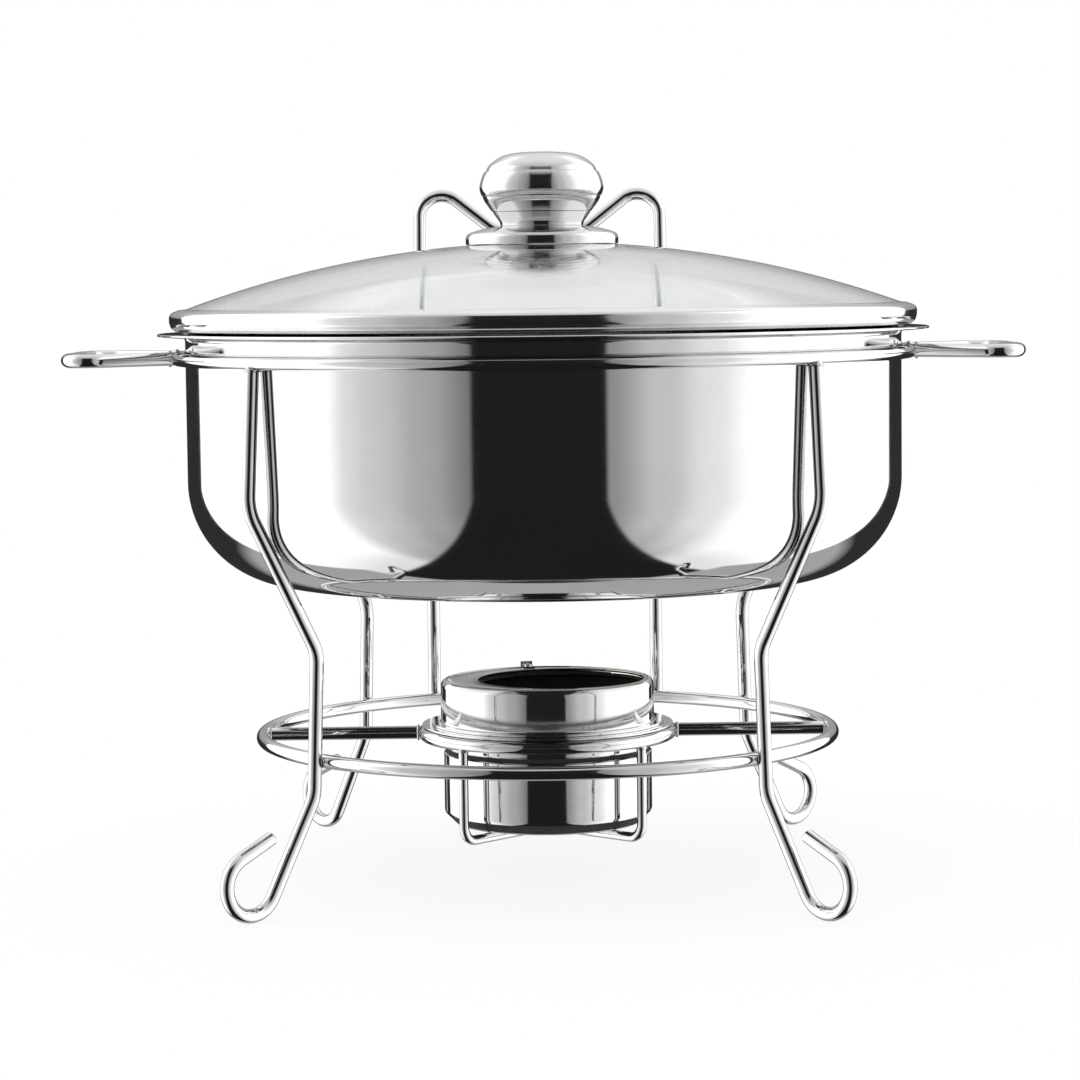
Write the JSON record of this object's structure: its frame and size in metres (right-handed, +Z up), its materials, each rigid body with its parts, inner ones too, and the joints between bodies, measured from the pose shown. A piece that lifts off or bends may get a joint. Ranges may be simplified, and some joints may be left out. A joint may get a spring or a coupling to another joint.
{
  "type": "soup kettle",
  "caption": "Round polished steel soup kettle with a flanged pot, a domed glass lid with a mushroom knob, and a chromed wire stand on scroll feet that holds a small fuel burner under the pot.",
  "frame": {"origin": "on the pot's axis at the level of the table under the feet", "axes": "+X towards the right-hand handle, +Y towards the lid holder at the back, +Z up"},
  "size_m": [0.3202, 0.2714, 0.244],
  "materials": {
    "wire_chrome": "bright chrome plate on bent steel wire",
    "pot_steel": "mirror-polished stainless steel",
    "lid_glass": "clear tempered glass",
    "rim_steel": "polished stainless steel band",
    "knob_steel": "fine-turned stainless steel, polished",
    "burner_steel": "bright pressed steel",
    "regulator_steel": "bright pressed steel, heat-tinted at the mouth",
    "screw_steel": "satin stainless steel",
    "gasket_rubber": "translucent grey silicone",
    "insert_plastic": "black heat-proof moulding",
    "wick_fibre": "soot-darkened mineral fibre"
  },
  "bodies": {
    "stand": {"upper_ring": "wire_chrome", "lower_ring": "wire_chrome", "burner_ring": "wire_chrome", "leg_front_left": "wire_chrome", "leg_front_right": "wire_chrome", "leg_rear_left": "wire_chrome", "leg_rear_right": "wire_chrome", "handle_left": "wire_chrome", "handle_right": "wire_chrome", "lid_holder": "wire_chrome", "burner_bar_left": "wire_chrome", "burner_bar_right": "wire_chrome", "cradle_wire": "wire_chrome", "cradle_side_wires": "wire_chrome"},
    "pot": {"pot_shell": "pot_steel"},
    "lid": {"lid_glass": "lid_glass", "lid_rim": "rim_steel", "gasket_upper": "gasket_rubber", "gasket_lower": "gasket_rubber", "knob_collar": "knob_steel", "knob_body": "knob_steel", "knob_cap": "knob_steel", "knob_insert": "insert_plastic", "knob_washer": "screw_steel", "knob_screw": "screw_steel"},
    "burner": {"fuel_cup": "burner_steel", "wick_pad": "wick_fibre", "burner_cover": "burner_steel"},
    "regulator": {"regulator_disc": "regulator_steel", "regulator_lever": "regulator_steel", "lever_rivet": "screw_steel"}
  },
  "joints": [
    {"name": "pot_lift", "type": "slide", "parent": "stand", "child": "pot", "axis": [0, 0, 1], "range_m": [0, 0.14]},
    {"name": "lid_lift", "type": "slide", "parent": "pot", "child": "lid", "axis": [0, 0, 1], "range_m": [0, 0.12]},
    {"name": "burner_lift", "type": "slide", "parent": "stand", "child": "burner", "axis": [0, 0, 1], "range_m": [0, 0.027]},
    {"name": "regulator_turn", "type": "hinge", "parent": "burner", "child": "regulator", "pos_m": [0, 0, 0.0658], "axis": [0, 0, 1], "range_deg": [0, 170]}
  ]
}
